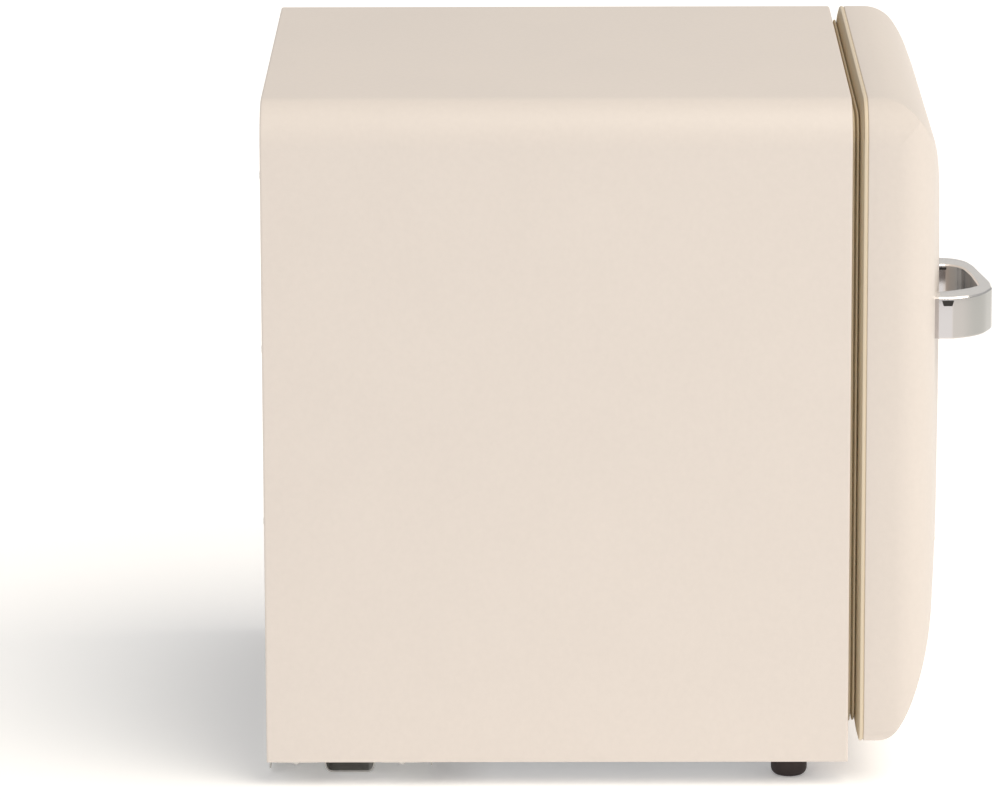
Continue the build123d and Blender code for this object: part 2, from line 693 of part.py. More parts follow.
# moulded blocks in the door's hinge corners: the upper one has a slot, in which the hinge arm swings
with BuildPart() as upper_hinge_socket:
    rod(SLOT_RADIUS + 2, HINGE, SOCKET_BASE, SLOT_TOP + 2.5)
    add(door_form(SKIN, SHELL_REAR), mode=Mode.INTERSECT)
    rod(SLOT_RADIUS, HINGE, SLOT_BASE, SLOT_TOP, mode=Mode.SUBTRACT)
    rod(PIN_RADIUS + RUNNING, HINGE, SOCKET_BASE, SLOT_BASE, mode=Mode.SUBTRACT)
upper_hinge_socket.part.label = "upper_hinge_socket"
export_step(upper_hinge_socket.part, "parts/upper_hinge_socket.step")

with BuildPart() as lower_hinge_socket:
    rod(LOWER_SOCKET, HINGE, LOWER_SOCKET_BASE, LOWER_SOCKET_TOP)
    rod(PIN_RADIUS + RUNNING, HINGE, LOWER_SOCKET_BASE, LOWER_SOCKET_TOP - 3, mode=Mode.SUBTRACT)
lower_hinge_socket.part.label = "lower_hinge_socket"
export_step(lower_hinge_socket.part, "parts/lower_hinge_socket.step")

# loop handle: seen from above, an outline of straight runs with rounded corners
HANDLE_LEFT = -178.5
HANDLE_BASE, HANDLE_TOP = 318.4, 348.7
HANDLE_OUTER = [
    (2, 50), (0, 64), (0, 74), (5.5, 86.5), (15.5, 96.8), (34, 104), (54, 104), (84, 99.5), (111, 95.5), (128, 90.5),
    (137.5, 82), (140, 68), (138, 50),
]
HANDLE_INNER = [(17, 50), (21, 66), (25, 74), (31, 84), (42, 94.2), (82, 91), (105, 87), (115, 79), (115, 50)]
HANDLE_SCREWS = [HANDLE_LEFT + 9, HANDLE_LEFT + 127]
HANDLE_MIDDLE = (HANDLE_BASE + HANDLE_TOP) / 2


def handle_outline(points, radius, mode=Mode.ADD):
    """Closed outline through points given from the handle's left end and the cabinet's front."""
    with BuildLine() as outline:
        corners = [(HANDLE_LEFT + u, CABINET_FRONT - v) for u, v in points]
        path = FilletPolyline(*corners, radius=radius)
        Line(path @ 1, path @ 0)
    make_face(outline.edges(), mode=mode)


with BuildPart() as handle_screws:
    with BuildSketch(at_y(-196)):
        with Locations(*[(x, HANDLE_MIDDLE) for x in HANDLE_SCREWS]):
            Circle(5)
    extrude(amount=4)
    with BuildSketch(at_y(-200)):
        with Locations(*[(x, HANDLE_MIDDLE) for x in HANDLE_SCREWS]):
            Circle(2.5)
    extrude(amount=28)
handle_screws.part.label = "handle_screws"
export_step(handle_screws.part, "parts/handle_screws.step")

with BuildPart() as handle:
    with BuildSketch(Plane.XY.offset(HANDLE_BASE)):
        handle_outline(HANDLE_OUTER, 3)
        handle_outline(HANDLE_INNER, 3, mode=Mode.SUBTRACT)
    extrude(amount=HANDLE_TOP - HANDLE_BASE)
    chamfer(handle.edges().filter_by(Plane.XY), length=2.5)
    add(door_form(0, SHELL_REAR), mode=Mode.SUBTRACT)
    add(handle_screws.part, mode=Mode.SUBTRACT)
handle.part.label = "handle"
export_step(handle.part, "parts/handle.step")

with BuildPart() as door_outer_shell:
    add(door_form(0, SHELL_REAR))
    add(door_form(SKIN, SHELL_REAR), mode=Mode.SUBTRACT)
    rod(SLOT_RADIUS, HINGE, SLOT_BASE, SLOT_TOP, mode=Mode.SUBTRACT)
    rod(PIN_RADIUS + 1, HINGE, DOOR_BASE, LOWER_SOCKET_BASE, mode=Mode.SUBTRACT)
    add(handle_screws.part, mode=Mode.SUBTRACT)
door_outer_shell.part.label = "door_outer_shell"
export_step(door_outer_shell.part, "parts/door_outer_shell.step")

with BuildPart() as door_rim_frame:
    with BuildSketch(at_y(DOOR_REAR)):
        door_outline(0)
        panel(PANEL_HALF, PANEL_BASE, PANEL_TOP, PANEL_RADIUS, mode=Mode.SUBTRACT)
    extrude(amount=RIM)
    rod(SLOT_RADIUS, HINGE, SLOT_BASE, SLOT_TOP, mode=Mode.SUBTRACT)
door_rim_frame.part.label = "door_rim_frame"
export_step(door_rim_frame.part, "parts/door_rim_frame.step")

# door liner: a panel with a raised ring, hollow from behind, that fits inside the cabinet's opening
DYKE_REAR = -125.0
DYKE_OUTER, DYKE_WIDE = 170.0, 12.0
DYKE_BASE, DYKE_TOP = 84.0, 446.0
DOOR_LINER = 2.0
UPPER_BIN, LOWER_BIN = (262.0, 330.0), (98.3, 172.0)
BIN_HALF, BIN_FRONT, BIN_REAR = 156.5, -161.0, -95.0


def dyke_ring(inset):
    panel(DYKE_OUTER - inset, DYKE_BASE + inset, DYKE_TOP - inset, 14 - inset)
    panel(
        DYKE_OUTER - DYKE_WIDE + inset,
        DYKE_BASE + DYKE_WIDE - inset,
        DYKE_TOP - DYKE_WIDE + inset,
        6,
        mode=Mode.SUBTRACT,
    )


with BuildPart() as door_liner:
    with BuildSketch(at_y(DOOR_REAR)):
        panel(PANEL_HALF, PANEL_BASE, PANEL_TOP, PANEL_RADIUS)
    extrude(amount=DOOR_LINER)
    with BuildSketch(at_y(DOOR_REAR)):
        dyke_ring(0)
    extrude(amount=DOOR_REAR - DYKE_REAR)
    with BuildSketch(at_y(DOOR_REAR - DOOR_LINER)):
        dyke_ring(DOOR_LINER)
    extrude(amount=DOOR_REAR - DYKE_REAR, mode=Mode.SUBTRACT)
    # ledges on which the bins stand
    for side in (-1, 1):
        near, far = sorted((side * 146.0, side * (DYKE_OUTER - DYKE_WIDE)))
        for base, top in ((UPPER_BIN[0] - 5, UPPER_BIN[0]), (DYKE_BASE + DYKE_WIDE, LOWER_BIN[0])):
            block((near, -155, base), (far, DYKE_REAR - 2, top - CLEAR))
door_liner.part.label = "door_liner"
export_step(door_liner.part, "parts/door_liner.step")

with BuildPart() as door_foam:
    add(door_form(SKIN, SHELL_REAR))
    with BuildSketch(at_y(DOOR_REAR - DOOR_LINER)):
        panel(PANEL_HALF, PANEL_BASE, PANEL_TOP, PANEL_RADIUS)
    extrude(amount=RIM - DOOR_LINER)
    with BuildSketch(at_y(DOOR_REAR - DOOR_LINER)):
        dyke_ring(DOOR_LINER)
    extrude(amount=DOOR_REAR - DYKE_REAR)
    rod(SLOT_RADIUS + 2, HINGE, SOCKET_BASE, SLOT_TOP + 2.5, mode=Mode.SUBTRACT)
    rod(LOWER_SOCKET, HINGE, LOWER_SOCKET_BASE, LOWER_SOCKET_TOP, mode=Mode.SUBTRACT)
    rod(PIN_RADIUS + 1, HINGE, DOOR_BASE, LOWER_SOCKET_BASE, mode=Mode.SUBTRACT)
    add(handle_screws.part, mode=Mode.SUBTRACT)
door_foam.part.label = "door_foam"
export_step(door_foam.part, "parts/door_foam.step")

# gasket: foot, bellows and a head that holds the magnet strip
GASKET_HALF, GASKET_BASE, GASKET_TOP, GASKET_RADIUS = 210.0, 41.0, 486.0, 20.0
GASKET_REAR = CABINET_FRONT - CLEAR


def gasket_band(outer, width, mode=Mode.ADD):
    """Ring between the outline set back by outer and the one set back by outer + width."""
    panel(GASKET_HALF - outer, GASKET_BASE + outer, GASKET_TOP - outer, GASKET_RADIUS - outer / 2, mode=mode)
    inner = outer + width
    panel(GASKET_HALF - inner, GASKET_BASE + inner, GASKET_TOP - inner, 8, mode=Mode.SUBTRACT)


with BuildPart() as gasket_magnet:
    with BuildSketch(at_y(GASKET_REAR - 1)):
        gasket_band(6, 9)
    extrude(amount=2.2)
gasket_magnet.part.label = "gasket_magnet"
export_step(gasket_magnet.part, "parts/gasket_magnet.step")

with BuildPart() as door_gasket:
    with BuildSketch(at_y(DOOR_REAR)):
        gasket_band(2, 18)
    extrude(amount=-1.6)
    with BuildSketch(at_y(DOOR_REAR + 1.6)):
        gasket_band(5, 10)
    extrude(amount=-2.4)
    with BuildSketch(at_y(DOOR_REAR + 4)):
        gasket_band(0, 20)
    extrude(amount=-(GASKET_REAR - DOOR_REAR - 4))
    add(gasket_magnet.part, mode=Mode.SUBTRACT)
door_gasket.part.label = "door_gasket"
export_step(door_gasket.part, "parts/door_gasket.step")

# storage bins on the inside of the door
for (base, top), name in ((UPPER_BIN, "upper_bin"), (LOWER_BIN, "lower_bin")):
    with BuildPart() as storage_bin:
        block((-BIN_HALF, BIN_FRONT, base), (BIN_HALF, BIN_REAR, top))
        fillet(storage_bin.edges().filter_by(Axis.Z), radius=8)
        with BuildSketch(Plane.XY.offset(base + 2.5)):
            with Locations((0, (BIN_FRONT + BIN_REAR) / 2)):
                RectangleRounded(2 * BIN_HALF - 5, BIN_REAR - BIN_FRONT - 5, 5.5)
        extrude(amount=top - base, mode=Mode.SUBTRACT)
    storage_bin.part.label = name
    export_step(storage_bin.part, f"parts/{name}.step")

# Hinges

with BuildPart() as upper_hinge_bracket:
    with BuildSketch(Plane.XY.offset(ARM_BASE)):
        with BuildLine():
            Polyline((210.6, CABINET_FRONT), (210.6, HINGE_Y), (218.5, HINGE_Y), (218.5, CABINET_FRONT), close=True)
        make_face()
        with Locations(HINGE):
            Circle(8.5)
    extrude(amount=ARM_THICK)
    block((210.6, CABINET_FRONT - 2, 436), (218.5, CABINET_FRONT, ARM_BASE + ARM_THICK))
    rod(PIN_RADIUS, HINGE, ARM_BASE, ARM_BASE + ARM_THICK, mode=Mode.SUBTRACT)
upper_hinge_bracket.part.label = "upper_hinge_bracket"
export_step(upper_hinge_bracket.part, "parts/upper_hinge_bracket.step")

with BuildPart() as upper_hinge_pin:
    rod(PIN_RADIUS, HINGE, SOCKET_BASE + 2, ARM_BASE + ARM_THICK)
upper_hinge_pin.part.label = "upper_hinge_pin"
export_step(upper_hinge_pin.part, "parts/upper_hinge_pin.step")

with BuildPart() as lower_hinge_bracket:
    with BuildSketch(Plane.XY.offset(LEAF_BASE)):
        with BuildLine():
            Polyline((186, CABINET_FRONT), (198, HINGE_Y - 9), (219, HINGE_Y - 9), (219, CABINET_FRONT), close=True)
        make_face()
    extrude(amount=LEAF_THICK)
    fillet(lower_hinge_bracket.edges().filter_by(Axis.Z).group_by(Axis.Y)[0], radius=5)
    block((176, CABINET_FRONT - 2.5, 18.6), (219, CABINET_FRONT, LEAF_BASE + LEAF_THICK))
    rod(PIN_RADIUS, HINGE, LEAF_BASE, LEAF_BASE + LEAF_THICK, mode=Mode.SUBTRACT)
lower_hinge_bracket.part.label = "lower_hinge_bracket"
export_step(lower_hinge_bracket.part, "parts/lower_hinge_bracket.step")

with BuildPart() as lower_hinge_pin:
    rod(PIN_RADIUS, HINGE, LEAF_BASE, LOWER_SOCKET_TOP - 5)
lower_hinge_pin.part.label = "lower_hinge_pin"
export_step(lower_hinge_pin.part, "parts/lower_hinge_pin.step")

with BuildPart() as hinge_screws:
    with BuildSketch(at_y(CABINET_FRONT - 2)):
        with Locations((214.5, 444), (214.5, 456)):
            Circle(2.6)
    extrude(amount=1.4)
    with BuildSketch(at_y(CABINET_FRONT - 2.5)):
        with Locations((184, 22.6), (207, 22.6)):
            Circle(3.6)
    extrude(amount=2)
    with BuildSketch(at_y(CABINET_FRONT + STEEL + 8)):
        with Locations((214.5, 444), (214.5, 456), (184, 22.6), (207, 22.6)):
            Circle(1.5)
    extrude(amount=STEEL + 8 + 2)
hinge_screws.part.label = "hinge_screws"
export_step(hinge_screws.part, "parts/hinge_screws.step")
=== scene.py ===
import json
from math import cos, pi, radians, sin, tan

import bmesh
import bpy
from mathutils import Matrix, Vector


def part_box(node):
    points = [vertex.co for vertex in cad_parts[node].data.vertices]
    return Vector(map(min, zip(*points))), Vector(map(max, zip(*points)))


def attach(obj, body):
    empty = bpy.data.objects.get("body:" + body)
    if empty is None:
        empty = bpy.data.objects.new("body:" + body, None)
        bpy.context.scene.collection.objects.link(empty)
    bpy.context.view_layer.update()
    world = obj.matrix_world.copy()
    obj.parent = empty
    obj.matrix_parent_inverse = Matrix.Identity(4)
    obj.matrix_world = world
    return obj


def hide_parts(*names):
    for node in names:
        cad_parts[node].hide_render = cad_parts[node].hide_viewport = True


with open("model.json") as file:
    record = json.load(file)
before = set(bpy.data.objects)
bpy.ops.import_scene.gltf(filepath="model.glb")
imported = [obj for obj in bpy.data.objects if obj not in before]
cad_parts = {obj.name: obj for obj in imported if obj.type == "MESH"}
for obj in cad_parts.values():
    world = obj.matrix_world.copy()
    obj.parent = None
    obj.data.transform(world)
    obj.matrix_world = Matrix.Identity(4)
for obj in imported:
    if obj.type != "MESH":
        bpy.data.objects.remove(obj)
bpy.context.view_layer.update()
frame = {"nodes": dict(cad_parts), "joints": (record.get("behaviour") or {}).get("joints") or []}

# Camera. It stands nearly five metres away, square to the refrigerator's left side and a metre above it,
# and looks down with a long lens.
camera_place = Vector((-4.8288, 0.0573, 1.3453))
camera_pitch, camera_yaw, camera_roll = 0.2263, 0.0079, -0.0036
camera_data = bpy.data.cameras.new("camera")
camera_data.sensor_width = 36
camera_data.lens = 242.13
camera_data.clip_end = 60
camera = bpy.data.objects.new("camera", camera_data)
bpy.context.collection.objects.link(camera)
camera_aim = Vector((
    cos(camera_pitch) * cos(camera_yaw), cos(camera_pitch) * sin(camera_yaw), -sin(camera_pitch)
))
camera.matrix_world = (
    Matrix.Translation(camera_place)
    @ camera_aim.to_track_quat("-Z", "Y").to_matrix().to_4x4()
    @ Matrix.Rotation(camera_roll, 4, "Z")
)
bpy.context.scene.camera = camera

# Floor and light. A white studio sweep lit evenly from all round and, a little, from within; one very
# soft light from the front left casts the floor shadow to the rear.
floor_half = 14.0
floor_mesh = bpy.data.meshes.new("floor")
floor_mesh.from_pydata(
    [(x, y, 0) for x, y in ((-1, -1), (1, -1), (1, 1), (-1, 1))], [], [(0, 1, 2, 3)]
)
floor_mesh.transform(Matrix.Diagonal((floor_half, floor_half, 1, 1)))
floor = bpy.data.objects.new("floor", floor_mesh)
bpy.context.collection.objects.link(floor)

world = bpy.data.worlds.new("studio")
world.use_nodes = True
world.node_tree.nodes["Background"].inputs["Color"].default_value = (1, 0.99, 0.98, 1)
world.node_tree.nodes["Background"].inputs["Strength"].default_value = 0.5
bpy.context.scene.world = world
bpy.context.scene.view_settings.view_transform = "Standard"

sky_data = bpy.data.lights.new("soft_sky", "SUN")
sky_data.angle = radians(55)
sky_data.energy = 2.1
sky_data.color = (1, 0.93, 0.81)
sky = bpy.data.objects.new("soft_sky", sky_data)
bpy.context.collection.objects.link(sky)
sky.matrix_world = Vector((0.36, 0.44, -0.82)).to_track_quat("-Z", "Y").to_matrix().to_4x4()


class Tone:
    """A value that varies over a surface. Arithmetic on it adds Math nodes to its finish."""

    def __init__(self, finish, socket):
        self.finish, self.socket = finish, socket

    def _math(self, operation, *values):
        return self.finish.node("ShaderNodeMath", {"operation": operation}, dict(enumerate(values)))

    def __add__(self, other):
        return self._math("ADD", self, other)

    def __sub__(self, other):
        return self._math("SUBTRACT", self, other)

    def __rsub__(self, other):
        return self._math("SUBTRACT", other, self)

    def __mul__(self, other):
        return self._math("MULTIPLY", self, other)

    __radd__, __rmul__ = __add__, __mul__

    def between(self, low, high):
        """0 up to low, 1 from high, smooth between."""
        settings = {"interpolation_type": "SMOOTHSTEP"}
        ends = {"Value": self, "From Min": low, "From Max": high}
        return self.finish.node("ShaderNodeMapRange", settings, ends)


class Finish:
    """One material. node() adds a node, and the other calls say what a maker would."""

    def __init__(self, name, colour, **shader):
        self.material = bpy.data.materials.new(name)
        self.material.use_nodes = True
        self.tree = self.material.node_tree
        self.shader = self.tree.nodes["Principled BSDF"]
        self.material.diffuse_color = (*colour, 1)
        self.set(**{"Base Color": (*colour, 1)}, **shader)
        self.place = self.node("ShaderNodeTexCoord", output="Object")

    def node(self, kind, settings=None, inputs=None, output=0):
        made = self.tree.nodes.new(kind)
        for name, value in (settings or {}).items():
            setattr(made, name, value)
        for name, value in (inputs or {}).items():
            self._feed(made.inputs[name], value)
        return Tone(self, made.outputs[output])

    def _feed(self, socket, value):
        if isinstance(value, Tone):
            self.tree.links.new(value.socket, socket)
        else:
            socket.default_value = value

    def set(self, **sockets):
        for name, value in sockets.items():
            self._feed(self.shader.inputs[name.replace("_", " ")], value)

    def noise(self, size, detail=2.0, stretch=(1, 1, 1)):
        """Cloudy variation between 0 and 1 with patches about size metres across."""
        place = self.place
        if stretch != (1, 1, 1):
            place = self.node("ShaderNodeVectorMath", {"operation": "MULTIPLY"}, {0: place, 1: stretch})
        return self.node("ShaderNodeTexNoise", {}, {"Vector": place, "Scale": 1 / size, "Detail": detail})

    def mix(self, share, first, second):
        settings = {"data_type": "RGBA"}
        return self.node("ShaderNodeMix", settings, {0: share, 6: first, 7: second}, output=2)

    def bump(self, height, depth, strength=1.0):
        """Relief: height from 0 to 1 stands for depth metres."""
        self.set(Normal=self.node(
            "ShaderNodeBump", {}, {"Height": height, "Distance": depth, "Strength": strength}
        ))


floor_finish = Finish(
    "studio_floor", (0.92, 0.92, 0.925), Roughness=0.9, Specular_IOR_Level=0.1,
    Emission_Color=(1, 0.99, 0.98, 1), Emission_Strength=0.235,
)
floor_mesh.materials.append(floor_finish.material)


# Painted steel. Cabinet and door share one cream enamel: satin, with the fine orange peel of sprayed
# powder and a slight unevenness of tone.
def cream_enamel(name, colour):
    enamel = Finish(name, colour, Specular_IOR_Level=0.32)
    cloud = enamel.noise(0.06, 3)
    speck = enamel.noise(0.0042, 3)
    dark = (*[c * 0.96 for c in colour], 1)
    light = (*[min(1, c * 1.04) for c in colour], 1)
    enamel.set(**{"Base Color": enamel.mix(0.35 * cloud + 0.65 * speck, dark, light)})
    enamel.set(Roughness=0.38 + 0.1 * cloud)
    enamel.bump(0.7 * enamel.noise(0.0016, 1) + 0.3 * enamel.noise(0.012, 1), 0.00008, 0.35)
    return enamel


cabinet_enamel = cream_enamel("cabinet_enamel", (0.735, 0.672, 0.628))
door_enamel = cream_enamel("door_enamel", (0.735, 0.67, 0.622))


# Outer wrapper. One steel sheet bent over the top and both sides; its front edge is folded in to the flange
# on which the gasket lands, its rear edge over the rear panel, and its lower edges into hems.
wrapper_low, wrapper_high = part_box("outer_wrapper")
cabinet_half = wrapper_high.x
top_radius = 0.032
sheet_steel = 0.001
flange_radius = 0.014


def dress(finish, *nodes):
    """Gives CAD nodes their finish."""
    for node in nodes:
        materials = frame["nodes"][node].data.materials
        materials.clear()
        materials.append(finish.material)


def make_piece(name, body, slot, finish, points, faces, stands_for=(), crease=32):
    """Closes a mesh from points in metres and hangs it on its body."""
    mesh = bpy.data.meshes.new(name)
    shape = bmesh.new()
    corners = [shape.verts.new(p) for p in points]
    for face in faces:
        shape.faces.new([corners[i] for i in face])
    bmesh.ops.remove_doubles(shape, verts=shape.verts, dist=1e-7)
    bmesh.ops.recalc_face_normals(shape, faces=shape.faces)
    shape.to_mesh(mesh)
    shape.free()
    mesh.shade_smooth()
    mesh.set_sharp_from_angle(angle=radians(crease))
    mesh.materials.append(finish.material)
    piece = bpy.data.objects.new(name, mesh)
    bpy.context.collection.objects.link(piece)
    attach(piece, body)
    if stands_for:
        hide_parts(*stands_for)
    return piece


def skin(rings, loop=True, stack_loop=False, capped=True):
    """Points and faces between successive rings of equal length. A capped stack is closed at both ends."""
    count = len(rings[0])
    points = [p for ring in rings for p in ring]
    faces = []
    for level in range(len(rings) if stack_loop else len(rings) - 1):
        low, high = level * count, (level + 1) % len(rings) * count
        for i in range(count if loop else count - 1):
            j = (i + 1) % count
            faces.append((low + i, low + j, high + j, high + i))
    if capped and not stack_loop:
        faces.append(tuple(range(count)))
        faces.append(tuple(range(len(points) - count, len(points))))
    return points, faces


def joined(*parts):
    """Several sets of points and faces as one."""
    points, faces = [], []
    for more_points, more_faces in parts:
        faces += [tuple(i + len(points) for i in face) for face in more_faces]
        points += more_points
    return points, faces


def arch_path(inset, y, base, bend=14):
    """The wrapper's outline at depth y, set in by inset: up one side, over the top and down the other."""
    half, top = cabinet_half - inset, wrapper_high.z - inset
    radius = max(top_radius - inset, flange_radius)
    path = [Vector((-half, y, base))]
    for side, start in ((-1, pi), (1, pi / 2)):
        for step in range(bend + 1):
            angle = start - pi / 2 * step / bend
            path.append(Vector((
                side * (half - radius) + radius * cos(angle), y, top - radius + radius * sin(angle)
            )))
    return path + [Vector((half, y, base))]


front, rear = wrapper_low.y, wrapper_high.y
sheet_section = [
    (30, front + 0.0008), (30, front + 0.0002), (29.8, front),
    (1.6, front), (0.95, front + 0.0001), (0.4, front + 0.0005), (0.1, front + 0.0011), (0, front + 0.0018),
    (0, rear - 0.0018), (0.1, rear - 0.0011), (0.4, rear - 0.0005), (0.95, rear - 0.0001), (1.6, rear),
    (11.8, rear), (12, rear - 0.0002), (12, rear - 0.0008), (11.8, rear - 0.001),
    (1.7, rear - 0.001), (1.15, rear - 0.0013), (1, rear - 0.0018),
    (1, front + 0.0018), (1.15, front + 0.0013), (1.7, front + 0.001), (29.8, front + 0.001),
]
hem_top = wrapper_low.z + sheet_steel
wrapper_body = skin([arch_path(inset / 1000, y, hem_top) for inset, y in sheet_section], loop=False,
                    stack_loop=True, capped=False)
ring_length = len(arch_path(0, 0, 0))
for end in (0, ring_length - 1):
    wrapper_body[1].append(tuple(level * ring_length + end for level in range(len(sheet_section))))

hem_section = [(0, 1), (0, 0.6), (0.2, 0.2), (0.6, 0), (12.8, 0), (13, 0.2), (13, 0.8), (12.8, 1)]


def hem(side):
    rings = [
        [Vector((side * (cabinet_half - inset / 1000), y, wrapper_low.z + rise / 1000))
         for inset, rise in hem_section]
        for y in (front + 0.0002, rear - 0.0002)
    ]
    return skin(rings)


make_piece(
    "cabinet_wrapper", "cabinet", "paint", cabinet_enamel, *joined(wrapper_body, hem(-1), hem(1)),
    stands_for=["outer_wrapper"],
)
dress(cabinet_enamel, "front_bottom_rail")

# Door shell. Deep-drawn steel, pillow-shaped: nearly flat sides that roll over into a front crowned from
# side to side and drawn in towards the bottom. Its rear edge is curled in at a fine seam beside the rim.
shell_low, shell_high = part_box("door_outer_shell")
rim_low, rim_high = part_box("door_rim_frame")
door_rear = rim_high.y
door_depth = door_rear - shell_low.y
lower_curve, upper_curve, side_curve = 0.194, 0.104, 0.040
edge_flat, side_flat, crown, bulge = 0.0105, 0.022, 0.011, 0.0023
upper_corner, lower_corner = 0.032, 0.014


def door_outline(inset, corner=20, side=26):
    """Outline of the door seen from the front, set in by inset."""
    half, low, high = cabinet_half - inset, shell_low.z + inset, shell_high.z - inset
    outline = []
    for sx, sz, start in ((-1, -1, pi), (1, -1, 1.5 * pi), (1, 1, 0), (-1, 1, pi / 2)):
        radius = (lower_corner if sz < 0 else upper_corner) - inset
        cx, cz = sx * (half - radius), (low + radius) if sz < 0 else (high - radius)
        arc = [
            Vector((cx + radius * cos(angle), 0, cz + radius * sin(angle)))
            for angle in [start + pi / 2 * step / corner for step in range(corner + 1)]
        ]
        if outline:
            here = outline[-1]
            outline += [here.lerp(arc[0], step / side) for step in range(1, side)]
        outline += arc
    here = outline[-1]
    return outline + [here.lerp(outline[0], step / side) for step in range(1, side)]


def quarter(reach, exponent):
    """Rise of a quarter superellipse, 0 to 1, at a share of its reach."""
    reach = max(0, min(1, reach))
    return (1 - (1 - reach) ** exponent) ** (1 / exponent)


def door_front(x, z, inset=0):
    """How far the door's front stands ahead of its rear plane at x, z."""
    half, low, high = cabinet_half - inset, shell_low.z + inset, shell_high.z - inset
    shoulder = cabinet_half - side_curve
    rise = min(quarter((z - low) / lower_curve, 2.0), quarter((high - z) / upper_curve, 2.3))
    middle = (low + lower_curve + high - upper_curve) / 2
    swell = max(0, 1 - ((z - middle) / (middle - low - lower_curve)) ** 2)
    upright = edge_flat + (door_depth - bulge - edge_flat) * rise + bulge * swell
    if abs(x) < shoulder:
        across = door_depth - crown * (x / shoulder) ** 2
    else:
        reach = (half - abs(x)) / (half - shoulder)
        across = side_flat + (door_depth - crown - side_flat) * quarter(reach, 2.25)
    blend = 0.004
    overlap = max(blend - abs(upright - across), 0) / blend
    return min(upright, across) - overlap * overlap * blend / 4 - inset


def door_skin(inset, layers=26):
    """Rings from the door's rear edge over its front to the middle."""
    rings = []
    line = door_outline(inset)
    low, high = shell_low.z + lower_curve, shell_high.z - upper_curve
    span = shell_high.z - shell_low.z
    for layer in range(layers + 1):
        share = 1 - cos(pi / 2 * layer / layers) ** 0.8 if layer < layers else 1
        ring = []
        for place in line:
            core_x = place.x * (cabinet_half - side_curve) / cabinet_half
            core_z = low + (high - low) * (place.z - shell_low.z) / span
            at = place.lerp(Vector((core_x, 0, core_z)), share)
            at.y = door_rear - door_front(at.x, at.z, inset)
            ring.append(at)
        rings.append(ring)
    middle = Vector((0, 0, (low + high) / 2))
    edge = rings[-1]
    for layer in range(1, 14):
        ring = []
        for place in edge:
            at = place.lerp(middle, layer / 14)
            at.y = door_rear - door_front(at.x, at.z, inset)
            ring.append(at)
        rings.append(ring)
    return rings


def door_body(back_rings, front_rings):
    """Closes the door with a flat face behind and a fan of triangles round the middle of its front."""
    points, faces = skin(back_rings + front_rings, capped=False)
    count = len(front_rings[0])
    faces.append(tuple(range(count)))
    last = len(points) - count
    middle = sum(front_rings[-1], Vector()) / count
    middle.y = door_rear - door_front(middle.x, middle.z)
    points.append(middle)
    faces += [(last + i, last + (i + 1) % count, len(points) - 1) for i in range(count)]
    return points, faces


def door_ring(inset, depth):
    return [Vector((p.x, door_rear - depth, p.z)) for p in door_outline(inset)]


curled_edge = [door_ring(inset / 1000, depth / 1000)
               for inset, depth in ((9, 3.05), (1.0, 3.05), (0.45, 3.15), (0.12, 3.45), (0, 3.9))]
door_shell = make_piece(
    "door_shell", "door", "door_paint", door_enamel, *door_body(curled_edge, door_skin(0)),
    stands_for=["door_outer_shell"], crease=30,
)


def cut(piece, centre, radius, low, high):
    """Takes an upright round hole out of a piece."""
    around = [Vector((centre[0] + radius * cos(a), centre[1] + radius * sin(a), 0))
              for a in [2 * pi * i / 72 for i in range(72)]]
    points, faces = skin([[p + Vector((0, 0, z)) for p in around] for z in (low, high)])
    mesh = bpy.data.meshes.new("cutter")
    mesh.from_pydata(points, [], faces)
    shape = bmesh.new()
    shape.from_mesh(mesh)
    bmesh.ops.recalc_face_normals(shape, faces=shape.faces)
    shape.to_mesh(mesh)
    shape.free()
    cutter = bpy.data.objects.new("cutter", mesh)
    bpy.context.collection.objects.link(cutter)
    boolean = piece.modifiers.new("cut", "BOOLEAN")
    boolean.object, boolean.operation, boolean.solver = cutter, "DIFFERENCE", "EXACT"
    bpy.context.view_layer.update()
    result = bpy.data.meshes.new_from_object(piece.evaluated_get(bpy.context.evaluated_depsgraph_get()))
    piece.modifiers.remove(boolean)
    piece.data = result
    bpy.data.objects.remove(cutter)
    return piece


swing = next(joint for joint in frame["joints"] if joint["name"] == "door_swing")
hinge_axis = swing["pos_m"][:2]
arm_low, arm_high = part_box("upper_hinge_bracket")
arm_slot = (arm_high.z - 0.0045, arm_high.z + 0.0015)
cut(door_shell, hinge_axis, 0.025, *arm_slot)
cut(door_shell, hinge_axis, 0.005, shell_low.z - 0.01, shell_low.z + 0.022)

# Door rim. A moulded frame behind the shell, in a warmer cream, with a rounded edge; it carries the
# gasket and the door liner.
rim_section = [
    (0.9, 2.95), (0.75, 2.5), (0.25, 2.15), (0, 1.8), (0, 0.9), (0.2, 0.35), (0.8, 0), (12, 0),
    (16, 0), (16, 2.95),
]
rim_plastic = Finish("rim_plastic", (0.72, 0.62, 0.47), Roughness=0.42)
rim_plastic.bump(rim_plastic.noise(0.0009, 1), 0.00003, 0.3)
rim_rings = []
for inset, depth in rim_section:
    rim_rings.append(door_ring(min(inset, 12) / 1000, depth / 1000))
    if inset > 12:
        rim_rings[-1] = [Vector((p.x * 0.982, p.y, p.z + (0.263 - p.z) * 0.017)) for p in rim_rings[-1]]
door_rim = make_piece(
    "door_rim", "door", "rim_plastic", rim_plastic, *skin(rim_rings, stack_loop=True),
    stands_for=["door_rim_frame"],
)
cut(door_rim, hinge_axis, 0.025, *arm_slot)

